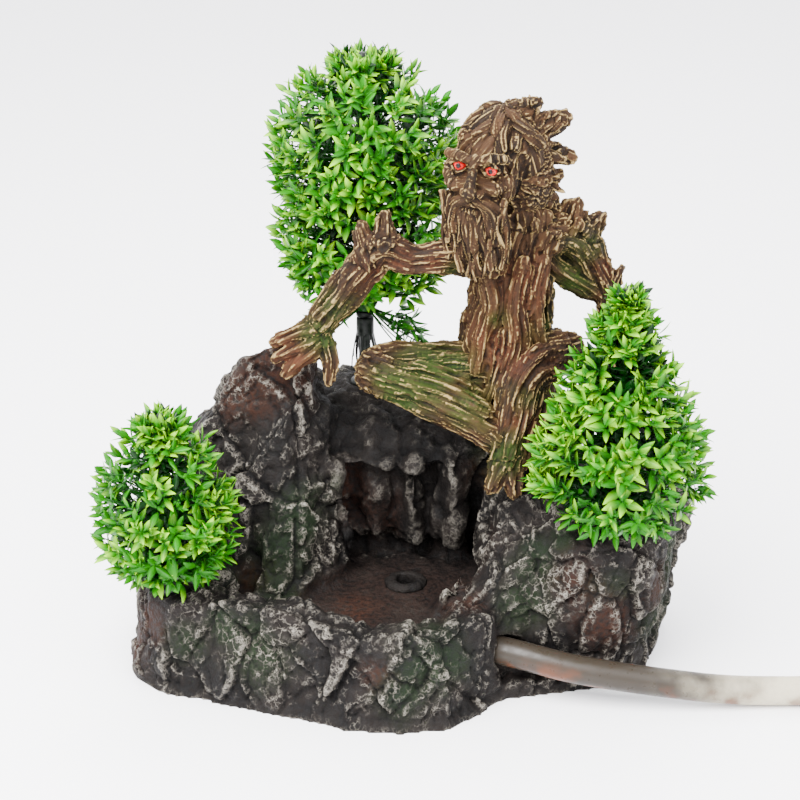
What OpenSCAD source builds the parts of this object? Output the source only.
// Bubbling rock ornament: a cast rock basin with a bark spirit seated on the
// ledge, three plastic plants in sockets, and a hose that feeds the pool outlet.
// Millimetres. +X right, +Y back, +Z up. The origin is the middle of the base.

/* [Overall] */
// Width of the rock at its base
rock_w = 268; // [220:1:330]
// Depth of the rock at its base
rock_d = 178; // [146:1:220]
// Height of the hair of the seated spirit above the table
spirit_top = 288; // [240:1:350]

/* [Pool] */
// Height of the pool floor above the table
pool_z = 36; // [30:1:44]
// Thickness of the pool floor over the pipe channel
floor_t = 6; // [4:0.5:8]
// Bore of the bubble outlet
outlet_bore = 10; // [6:0.5:12]
// Wall of the outlet collar
outlet_wall = 2.5; // [1.5:0.25:4]
// Diameter of the outlet flange on the pool floor
outlet_flange_d = 21; // [18:0.5:28]
// Height of the outlet flange above the pool floor
outlet_flange_t = 3; // [2:0.5:5]

/* [Hose] */
// Outer diameter of the hose
hose_od = 14; // [10:0.5:15]
// Outer diameter of the feed pipe inside the rock
pipe_od = 12; // [9:0.5:14]
// Bore of the feed pipe
pipe_bore = 9; // [6:0.5:11]

/* [Plants] */
// Diameter of the stem of the rear tree
tree_stem_d = 5; // [4:0.25:7]
// Diameter of the stem of each low bush
bush_stem_d = 4; // [3:0.25:5]
// Depth of the blind hole in each socket
socket_depth = 12; // [8:0.5:14]
// Wall of each socket
socket_wall = 2.5; // [1.5:0.25:4]
// Width of the socket's rim beyond its wall
socket_rim = 2.5; // [1.5:0.25:4]
// Largest radius of the rear crown
tree_r = 50; // [38:1:50]
// Largest radius of the right bush
right_r = 46; // [34:1:47]
// Largest radius of the left bush
left_r = 37; // [28:1:38]
// Height of one spray tier of the rear crown
tree_tier_h = 26; // [20:0.5:30]
// Height of one spray tier of the right bush
right_tier_h = 28; // [20:0.5:32]
// Height of one spray tier of the left bush
left_tier_h = 27; // [20:0.5:32]
// Gap between one spray tier and the next
tier_gap = 0.4; // [0.3:0.1:1]
// Running clearance of a spray hub on its stem, on the radius
hub_clear = 0.08; // [0.05:0.01:0.1]
// Clearance of a stem in its socket, on the radius
stem_clear = 0.05; // [0.02:0.01:0.1]
// Clearance of the hose in its hole through the rock, on the radius
hose_hole_clear = 1.5; // [1:0.25:3]
// Clearance of a set piece in its hole in the casting, on the radius
set_clear = 0.2; // [0.1:0.05:0.4]

/* [Hidden] */
$fn = 48;

ROCK = "#4a3f38";
BARK = "#8a6a50";
PLASTIC = "#1c221c";
LEAF = "#4fb32d";
CREAM = "#e6ddc8";

// Every hand-placed point of the rock and the spirit stretches with the three
// overall sizes, which are measured against the sizes it was drawn at.
function at(p) = [p.x * rock_w / 268, p.y * rock_d / 178, p.z * spirit_top / 288];

// ---- places that several pieces share
tree_at = at([-18, 47.5, 0]);
right_at = at([103, -48, 0]);
left_at = at([-112, -46, 0]);
tree_seat = at([0, 0, 119.5]).z;
right_seat = at([0, 0, 85]).z;
left_seat = at([0, 0, 52]).z;
outlet_at = at([3, -14, 0]);
hose_start = [44, -55, 23];
pipe_z = 18;

// ---- rock: each boulder is the hull of small round corners
FOOT = [[-134, -20], [-129, -44], [-113, -59], [-82, -68], [-50, -80], [-22, -91], [0, -93], [22, -89], [38, -76],
    [52, -66], [80, -60], [102, -55], [117, -40], [126, -20], [130, 8], [128, 40], [110, 62], [70, 76], [10, 81],
    [-50, 80], [-100, 66], [-128, 36], [-134, 8]];
FLOOR = [[-120, -20], [-110, -44], [-80, -58], [-40, -72], [0, -82], [24, -76], [38, -56], [70, -44], [110, -34],
    [120, 8], [116, 40], [66, 72], [-50, 74], [-96, 60], [-120, 30]];
BOULDERS = [
    // left shoulder that carries the left bush
    [[-134, -20, 0], [-129, -44, 0], [-113, -59, 0], [-82, -66, 0], [-80, -30, 0], [-128, 36, 0],
     [-128, -18, 44], [-122, -42, 44], [-108, -56, 46], [-84, -58, 48], [-84, -34, 48], [-92, -8, 50],
     [-126, 14, 56]],
    // front rim, left to right
    [[-90, -66, 0], [-50, -80, 0], [-44, -50, 0], [-86, -44, 0], [-88, -60, 50], [-52, -74, 52], [-44, -58, 49],
     [-84, -48, 47]],
    [[-54, -78, 0], [-22, -90, 0], [-10, -66, 0], [-48, -56, 0], [-52, -74, 52], [-24, -87, 45], [-18, -70, 43],
     [-46, -60, 49]],
    [[-26, -90, 0], [0, -93, 0], [22, -89, 0], [32, -74, 0], [18, -60, 0], [-20, -64, 0], [-22, -86, 45],
     [0, -90, 47], [17, -86, 45], [25, -72, 44], [14, -66, 42], [-18, -70, 41]],
    [[20, -90, 0], [38, -76, 0], [46, -62, 0], [36, -44, 0], [16, -58, 0], [18, -84, 45], [34, -72, 40],
     [43, -62, 44], [36, -48, 50], [20, -64, 41]],
    // right buttress, the pool's right wall
    [[32, -50, 0], [62, -52, 0], [72, -38, 0], [66, -10, 0], [36, -30, 0], [38, -56, 44], [52, -53, 56],
     [64, -44, 74], [66, -14, 88], [48, -28, 70], [34, -40, 50]],
    [[40, -28, 0], [72, -30, 0], [74, 30, 0], [44, 30, 0], [52, -22, 82], [68, -22, 92], [74, 26, 104],
     [46, 28, 98], [46, 4, 80]],
    // right massif that carries the right bush
    [[58, -50, 0], [84, -54, 0], [104, -52, 0], [118, -40, 0], [126, -20, 0], [130, 8, 0], [128, 40, 0],
     [90, 58, 0], [62, 40, 0], [62, -42, 66], [76, -54, 60], [98, -64, 66], [118, -56, 70], [134, -30, 74],
     [142, -6, 76], [139, 28, 80], [118, 46, 82], [70, 40, 84], [64, -12, 86], [84, -58, 78], [108, -60, 80],
     [128, -40, 82], [134, -10, 84]],
    // rear mass behind the falling water
    [[-52, 34, 0], [72, 30, 0], [110, 62, 0], [70, 76, 0], [10, 81, 0], [-50, 80, 0], [-46, 38, 108],
     [72, 34, 108], [92, 56, 92], [62, 68, 104], [6, 72, 114], [-46, 70, 116]],
    [[34, 20, 50], [86, 14, 50], [92, 50, 50], [30, 54, 50], [40, 12, 114], [84, 10, 112], [86, 40, 116],
     [34, 46, 118]],
    // seat of the rear tree, and the back of the left crag
    [[-40, 30, 60], [6, 30, 60], [10, 66, 60], [-40, 66, 60], [-34, 34, 118], [0, 34, 119], [4, 58, 120],
     [-34, 60, 119]],
    [[-98, 40, 0], [-40, 40, 0], [-40, 76, 0], [-82, 70, 0], [-92, 44, 92], [-44, 42, 120], [-42, 68, 108],
     [-78, 62, 86]],
    // left crag under the hand
    [[-128, 24, 0], [-88, -16, 0], [-58, -16, 0], [-40, 20, 0], [-40, 60, 0], [-96, 66, 0], [-122, 44, 0],
     [-106, 4, 92], [-98, 6, 112], [-76, 4, 150], [-58, 4, 158], [-44, 6, 152], [-38, 18, 128], [-48, 40, 130],
     [-84, 40, 124], [-108, 34, 96]],
    [[-90, -22, 20], [-60, -26, 20], [-36, 4, 20], [-88, -2, 88], [-70, -12, 104], [-56, -10, 126],
     [-46, -2, 140], [-36, 14, 118]],
    [[-72, -34, 20], [-50, -34, 20], [-32, -6, 20], [-66, -22, 70], [-48, -16, 86], [-34, 4, 84], [-34, 16, 100]],
    [[-120, 26, 40], [-104, -2, 40], [-84, 12, 60], [-112, 8, 84], [-100, 4, 98], [-92, 34, 104]],
    [[-82, -22, 20], [-40, -22, 20], [-26, -6, 20], [-30, 14, 20], [-84, 4, 20], [-82, -18, 64], [-52, -18, 70],
     [-34, -8, 68], [-30, 8, 66], [-84, 2, 74]],
    // steps and pillars of the fall
    [[-44, 26, 30], [-8, 26, 30], [-6, 44, 30], [-46, 44, 30], [-40, 28, 92], [-10, 30, 88], [-8, 42, 98],
     [-42, 42, 100]],
    [[0, 24, 30], [12, 24, 30], [12, 40, 30], [0, 40, 30], [3, 26, 84], [9, 26, 88], [8, 38, 92]],
    [[18, 18, 30], [34, 16, 30], [36, 36, 30], [18, 36, 30], [21, 20, 88], [31, 18, 94], [32, 34, 98],
     [20, 34, 96]],
    [[-46, 16, 96], [-12, 12, 98], [10, 12, 96], [40, 10, 100], [42, 44, 96], [-46, 44, 98], [-42, 20, 108],
     [-10, 18, 110], [16, 18, 108], [40, 16, 112], [38, 42, 114], [-44, 42, 116]],
    // loose stones in the basin
    [[-76, -38, 30], [-56, -46, 30], [-46, -30, 30], [-66, -20, 30], [-70, -36, 44], [-54, -36, 43],
     [-62, -26, 42]],
    [[14, -48, 30], [34, -44, 30], [30, -26, 30], [18, -30, 30], [24, -42, 46], [30, -32, 50]]];
corner_r = 3.5;
foot_h = 8.7;

module boulder(points) {
    hull()
        for (p = points)
            translate(at(p)) sphere(corner_r, $fn = 6);
}

module rock_mass() {
    linear_extrude(foot_h) polygon([for (p = FOOT) [at([p.x, p.y, 0]).x, at([p.x, p.y, 0]).y]]);
    linear_extrude(pool_z) polygon([for (p = FLOOR) [at([p.x, p.y, 0]).x, at([p.x, p.y, 0]).y]]);
    for (b = BOULDERS)
        boulder(b);
}

// room for a socket: its hole, its flat seat and the air over it
module socket_room(place, seat, stem_d) {
    r = stem_d / 2 + socket_wall;
    translate([place.x, place.y, seat - socket_depth - socket_wall - 0.5])
        cylinder(h = socket_depth + socket_wall + 1, r = r + set_clear);
    translate([place.x, place.y, seat])
        cylinder(h = 30, r1 = r + socket_rim + 1.5, r2 = r + socket_rim + 14);
}

// channel in the underside, from the outlet to the place where the hose leaves
module pipe_channel() {
    top = pool_z - floor_t;
    wide = hose_od + 2;
    hull() {
        translate([outlet_at.x, outlet_at.y, -1]) cylinder(h = top + 1, d = wide);
        translate([hose_start.x - 8, hose_start.y + 8, -1]) cylinder(h = top + 1, d = wide);
    }
    translate(hose_start) rotate([0, 93, -22]) translate([0, 0, -12])
        cylinder(h = 44, d = hose_od + 2 * hose_hole_clear);
}

module rock_casting() {
    color(ROCK)
        difference() {
            rock_mass();
            spirit();
            translate([-400, -400, -50]) cube([800, 800, 50]);
            pipe_channel();
            translate([outlet_at.x, outlet_at.y, 0])
                cylinder(h = pool_z + 20, d = outlet_bore + 2 * outlet_wall + 2 * set_clear);
            translate([outlet_at.x, outlet_at.y, pool_z - flange_sink])
                cylinder(h = 20, d = outlet_flange_d + 2 * set_clear);
            socket_room(tree_at, tree_seat, tree_stem_d);
            socket_room(right_at, right_seat, bush_stem_d);
            socket_room(left_at, left_seat, bush_stem_d);
        }
}

// ---- seated spirit: limbs are chains of knots, each knot [x, y, z, radius]
module limb(knots) {
    for (i = [0 : len(knots) - 2])
        hull()
            for (k = [knots[i], knots[i + 1]])
                translate(at(k)) sphere(k[3], $fn = 8);
}

TORSO = [[56, 12, 118, 24], [54, 10, 140, 23], [52, 9, 160, 21], [53, 8, 180, 20], [54, 8, 196, 18], [54, 8, 208, 15]];
SHOULDERS = [[34, -6, 208, 9], [54, 8, 208, 14], [76, 12, 215, 12]];
NECK = [[56, 8, 208, 15], [56, 5, 226, 16]];
HEAD = [[42, -6, 261, 17], [52, 2, 259, 18], [57, 5, 240, 17]];
FACE = [[40, -9, 257, 17], [38, -10, 244, 16], [38, -10, 230, 14], [38, -9, 216, 12]];
BEARD = [[24, -13, 207, 3], [44, -12, 197, 3], [50, -8, 209, 4], [40, -6, 222, 8], [27, -10, 222, 5]];
FACE_RIDGES = [[[31, -21, 263, 4], [28.5, -27, 252, 4.5]], [[23, -16, 265, 4], [34, -23, 266, 4.5], [46, -24, 264, 4]],
    [[23, -14, 236, 4], [21, -14, 214, 3]]];
LOCKS = [
    [[44, -4, 268, 10], [56, 2, 276, 7], [64, 4, 279, 3.5]],
    [[34, -10, 266, 9], [38, -4, 272, 7], [44, 0, 277, 4]],
    [[54, 0, 264, 10], [68, 5, 270, 6], [78, 8, 271, 3.5]],
    [[58, 4, 254, 10], [70, 8, 254, 6], [81, 10, 251, 3.5]],
    [[58, 4, 244, 10], [68, 8, 243, 6], [75, 10, 243, 3.5]],
    [[58, 6, 232, 11], [68, 9, 230, 7], [74, 10, 226, 4]]];
ARM_LEFT = [[34, -6, 208, 9], [20, -12, 210, 8], [6, -13, 209, 7.5], [-8, -13, 215, 9], [-17, -10, 204, 9],
    [-27, -8, 190, 8.5], [-36, -5, 177, 8], [-42, -4, 169, 8]];
ELBOW_STUBS = [[[-7, -13, 216, 7], [-7, -14, 231, 3.5]], [[-14, -12, 212, 7], [-18, -12, 224, 4]]];
FINGERS = [[[-42, -5, 170, 6], [-52, -8, 168, 4.5], [-60, -9, 165, 3]],
    [[-42, -6, 166, 6], [-52, -11, 162, 4.5], [-59, -12, 158, 3]],
    [[-40, -7, 162, 6], [-49, -12, 156, 4.5], [-55, -13, 150, 3]],
    [[-37, -5, 166, 6], [-34, -8, 155, 4.5], [-35, -10, 145, 3]]];
ARM_RIGHT = [[78, 12, 215, 11], [87, 14, 209, 10], [97, 14, 191, 7.5], [102, 14, 179, 7], [108, 12, 158, 6],
    [110, 12, 132, 6.5], [109, 13, 108, 7], [107, 12, 92, 8]];
HAND_RIGHT = [[[107, 12, 94, 7], [118, 10, 88, 4]], [[107, 12, 94, 7], [114, 20, 88, 4]],
    [[107, 12, 94, 7], [97, 14, 90, 4.5]]];
ARM_BRACE = [[64, 8, 208, 7], [78, 10, 194, 6.5], [93, 13, 183, 6]];
SHOULDER_STUBS = [[[80, 12, 217, 9], [83, 13, 226, 6]], [[88, 14, 212, 8], [96, 14, 220, 4]],
    [[102, 14, 183, 5], [107, 14, 194, 2.5]]];
LEG_LEFT = [[50, 8, 144, 14], [20, 3, 147, 12], [-12, -2, 150, 11], [-13, -4, 146, 10], [14, -8, 136, 10],
    [40, -12, 124, 10], [50, -14, 116, 9]];
CALF = [[34, 0, 138, 13], [6, -2, 143, 11]];
LEG_RIGHT = [[82, 6, 156, 10], [68, -3, 154, 12], [60, -9, 146, 11], [56, -14, 130, 10], [52, -18, 116, 9],
    [49, -21, 104, 7]];
TOES = [[[50, -21, 106, 6], [44, -27, 96, 4]], [[54, -20, 106, 6], [55, -28, 94, 4]],
    [[66, -4, 140, 9], [62, -12, 122, 7], [59, -17, 106, 6]]];

module torso_shape() {
    limb(TORSO);
    limb(SHOULDERS);
    limb(NECK);
}

module head_shape() {
    limb(HEAD);
    limb(FACE);
    hull()
        for (k = BEARD)
            translate(at(k)) sphere(k[3], $fn = 8);
    for (l = concat(FACE_RIDGES, LOCKS))
        limb(l);
}

module arm_left_shape() {
    limb(ARM_LEFT);
    for (l = concat(ELBOW_STUBS, FINGERS))
        limb(l);
}

module arm_right_shape() {
    limb(ARM_RIGHT);
    limb(ARM_BRACE);
    for (l = concat(SHOULDER_STUBS, HAND_RIGHT))
        limb(l);
}

module leg_left_shape() {
    limb(LEG_LEFT);
    limb(CALF);
}

module leg_right_shape() {
    limb(LEG_RIGHT);
    for (l = TOES)
        limb(l);
}

module spirit() {
    torso_shape();
    arm_left_shape();
    arm_right_shape();
    leg_left_shape();
    leg_right_shape();
}

module figure_torso() {
    color(BARK) torso_shape();
}

eye_r = 3;
eye_clear = 0.06;
EYES = [at([27.2, -20.4, 257]), at([41.6, -25, 255.5])];

module figure_head() {
    color(BARK)
        difference() {
            head_shape();
            torso_shape();
            for (e = EYES)
                translate(e) sphere(eye_r, $fn = 24);
        }
}

module arm_left() {
    color(BARK)
        difference() {
            arm_left_shape();
            torso_shape();
            head_shape();
        }
}

module arm_right() {
    color(BARK)
        difference() {
            arm_right_shape();
            torso_shape();
        }
}

module leg_left() {
    color(BARK)
        difference() {
            leg_left_shape();
            torso_shape();
        }
}

module leg_right() {
    color(BARK)
        difference() {
            leg_right_shape();
            torso_shape();
            leg_left_shape();
        }
}

module eye(i) {
    color("#c81818") translate(EYES[i]) sphere(eye_r - eye_clear, $fn = 24);
}

// ---- outlet, feed pipe and hose
outlet_od = outlet_bore + 2 * outlet_wall;
elbow_extra = 1.5;
flange_sink = 0.6;
outlet_foot = pipe_z + (pipe_od + elbow_extra) / 2;

module bubble_outlet() {
    color(PLASTIC)
        translate([outlet_at.x, outlet_at.y, 0])
            difference() {
                union() {
                    translate([0, 0, pool_z - flange_sink])
                        cylinder(h = outlet_flange_t + flange_sink, d = outlet_flange_d);
                    translate([0, 0, outlet_foot]) cylinder(h = pool_z + 1 - outlet_foot, d = outlet_od);
                }
                cylinder(h = pool_z + 20, d = outlet_bore);
            }
}

// the pipe runs level under the floor and ends where the hose begins
pipe_run = [hose_start.x - outlet_at.x, hose_start.y - outlet_at.y, hose_start.z - pipe_z];
pipe_len = norm(pipe_run);
pipe_yaw = atan2(pipe_run.y, pipe_run.x);
pipe_tilt = acos(pipe_run.z / pipe_len);

module feed_pipe() {
    color(PLASTIC)
        difference() {
            translate([outlet_at.x, outlet_at.y, pipe_z]) {
                rotate([0, pipe_tilt, pipe_yaw]) cylinder(h = pipe_len, d = pipe_od);
                sphere(d = pipe_od + elbow_extra);
                cylinder(h = outlet_foot - pipe_z, d = pipe_od);
            }
            translate([outlet_at.x, outlet_at.y, pipe_z]) {
                rotate([0, pipe_tilt, pipe_yaw]) cylinder(h = pipe_len + 1, d = pipe_bore);
                sphere(d = pipe_bore + elbow_extra);
                cylinder(h = pipe_od, d = pipe_bore);
            }
        }
}

// the hose leaves the rock, comes down to the table and runs to the coil
HOSE = [hose_start, [62, -63, 22.5], [80, -68, 20], [100, -71, 17.5], [125, -72, 14], [155, -71, 9.5],
    [184, -69, 7.2], [215, -68, 7], [250, -68, 7], [285, -68, 7], [312, -68, 7]];
coil_r = 84;
coil_pitch = 14.6;
coil_turns = 1.55;
coil_at = [312, -68 + coil_r, 7];
hose_sides = 12;

function unit(v) = v / norm(v);
function route_dir(p, i) = unit(p[min(i + 1, len(p) - 1)] - p[max(i - 1, 0)]);
function ring(p, d, r, n) = let (s = unit(cross(d, [0, 0, 1])), u = cross(s, d))
    [for (k = [0 : n - 1]) p + r * (cos(360 * k / n) * s + sin(360 * k / n) * u)];
function smooth(p, i, t) = let (a = p[max(i - 1, 0)], b = p[i], c = p[i + 1], d = p[min(i + 2, len(p) - 1)])
    0.5 * (2 * b + t * (c - a) + t * t * (2 * a - 5 * b + 4 * c - d) + t * t * t * (3 * b - a - 3 * c + d));

module tube(route, r, n) {
    m = len(route);
    pts = [for (i = [0 : m - 1]) each ring(route[i], route_dir(route, i), r, n)];
    faces = concat(
        [[for (k = [0 : n - 1]) k]],
        [for (i = [0 : m - 2]) for (k = [0 : n - 1])
            [i * n + k, (i + 1) * n + k, (i + 1) * n + (k + 1) % n, i * n + (k + 1) % n]],
        [[for (k = [n - 1 : -1 : 0]) (m - 1) * n + k]]);
    polyhedron(pts, faces);
}

hose_route = concat([for (i = [0 : len(HOSE) - 2]) each [smooth(HOSE, i, 0), smooth(HOSE, i, 0.5)]],
    [HOSE[len(HOSE) - 1]]);

module hose_run() {
    color(CREAM) tube([for (p = hose_route) [p.x, p.y, max(p.z, hose_od / 2)]], hose_od / 2, hose_sides);
}

module hose_coil() {
    color(CREAM)
        translate([coil_at.x, coil_at.y, 0])
            rotate_extrude($fn = 96)
                translate([coil_r - coil_turns * coil_pitch - hose_od / 2, 0])
                    square([coil_turns * coil_pitch + hose_od, hose_od]);
}

// ---- plants
module socket(place, seat, stem_d) {
    r = stem_d / 2 + socket_wall;
    color(PLASTIC)
        translate([place.x, place.y, seat])
            difference() {
                union() {
                    translate([0, 0, -socket_depth - socket_wall]) cylinder(h = socket_depth + socket_wall, r = r);
                    cylinder(h = socket_rim, r = r + socket_rim);
                }
                translate([0, 0, -socket_depth]) cylinder(h = 100, r = stem_d / 2 + stem_clear);
            }
}

// the stem stands in its socket and carries a collar under the first tier
module stem(place, seat, first, top, stem_d) {
    color(PLASTIC)
        translate([place.x, place.y, 0]) {
            translate([0, 0, seat - socket_depth]) cylinder(h = top + stem_tip - seat + socket_depth, r = stem_d / 2);
            translate([0, 0, first - tier_gap - 3]) cylinder(h = 3, r = stem_d / 2 + 2);
        }
}

stem_tip = 2;
tree_first = at([0, 0, 160]).z;
right_first = at([0, 0, 93]).z;
left_first = at([0, 0, 61]).z;
tree_top = tree_first + 5 * tree_tier_h;
right_top = right_first + 4 * right_tier_h;
left_top = left_first + 3 * left_tier_h;

// share of the largest radius at the foot, the waist and the top of each tier
TREE_SHAPE = [[0.50, 0.78, 0.86], [0.86, 0.92, 0.92], [0.92, 0.95, 0.97], [0.97, 1.00, 0.92], [0.92, 0.80, 0.30]];
RIGHT_SHAPE = [[0.62, 1.00, 0.96], [0.96, 0.92, 0.80], [0.80, 0.68, 0.52], [0.52, 0.42, 0.14]];
LEFT_SHAPE = [[0.62, 0.96, 1.00], [1.00, 0.98, 0.90], [0.90, 0.72, 0.30]];

module spray(place, first, tier_h, i, radius, shape, stem_d) {
    h = tier_h - tier_gap;
    bore = stem_d / 2 + hub_clear;
    color(LEAF)
        translate([place.x, place.y, first + i * tier_h])
            rotate_extrude()
                polygon([[bore, 0], [radius * shape[i][0], 0], [radius * shape[i][1], h * 0.45],
                    [radius * shape[i][2], h], [bore, h]]);
}

module tree_spray(i) {
    spray(tree_at, tree_first, tree_tier_h, i, tree_r, TREE_SHAPE, tree_stem_d);
}

module right_spray(i) {
    spray(right_at, right_first, right_tier_h, i, right_r, RIGHT_SHAPE, bush_stem_d);
}

module left_spray(i) {
    spray(left_at, left_first, left_tier_h, i, left_r, LEFT_SHAPE, bush_stem_d);
}

// hanging black root blades of the tree, moulded on a ring round its stem
strand_n = 7;
function blade_drop(i) = min(28 + 3 * (i % 3), tree_first - tree_seat - socket_rim - 1);

module tree_roots() {
    color(PLASTIC)
        translate([tree_at.x, tree_at.y, 0])
            difference() {
                union() {
                    translate([0, 0, tree_first - 14]) cylinder(h = 10, r = tree_stem_d / 2 + 2);
                    for (i = [0 : strand_n - 1])
                        rotate([0, 0, i * 360 / strand_n])
                            translate([tree_stem_d / 2 + 1, -0.6, tree_first - blade_drop(i)])
                                cube([4, 1.2, blade_drop(i) - 6]);
                }
                translate([0, 0, tree_first - 60]) cylinder(h = 80, r = tree_stem_d / 2 + hub_clear);
            }
}

rock_casting();
figure_torso();
figure_head();
arm_left();
arm_right();
leg_left();
leg_right();
eye(0);  // eye_left
eye(1);  // eye_right
bubble_outlet();
feed_pipe();
hose_run();
hose_coil();
socket(tree_at, tree_seat, tree_stem_d);  // tree_socket
socket(right_at, right_seat, bush_stem_d);  // right_socket
socket(left_at, left_seat, bush_stem_d);  // left_socket
stem(tree_at, tree_seat, tree_first, tree_top, tree_stem_d);  // tree_stem
tree_roots();
stem(right_at, right_seat, right_first, right_top, bush_stem_d);  // right_stem
stem(left_at, left_seat, left_first, left_top, bush_stem_d);  // left_stem
tree_spray(0);  // tree_spray_1
tree_spray(1);  // tree_spray_2
tree_spray(2);  // tree_spray_3
tree_spray(3);  // tree_spray_4
tree_spray(4);  // tree_spray_5
right_spray(0);  // right_spray_1
right_spray(1);  // right_spray_2
right_spray(2);  // right_spray_3
right_spray(3);  // right_spray_4
left_spray(0);  // left_spray_1
left_spray(1);  // left_spray_2
left_spray(2);  // left_spray_3
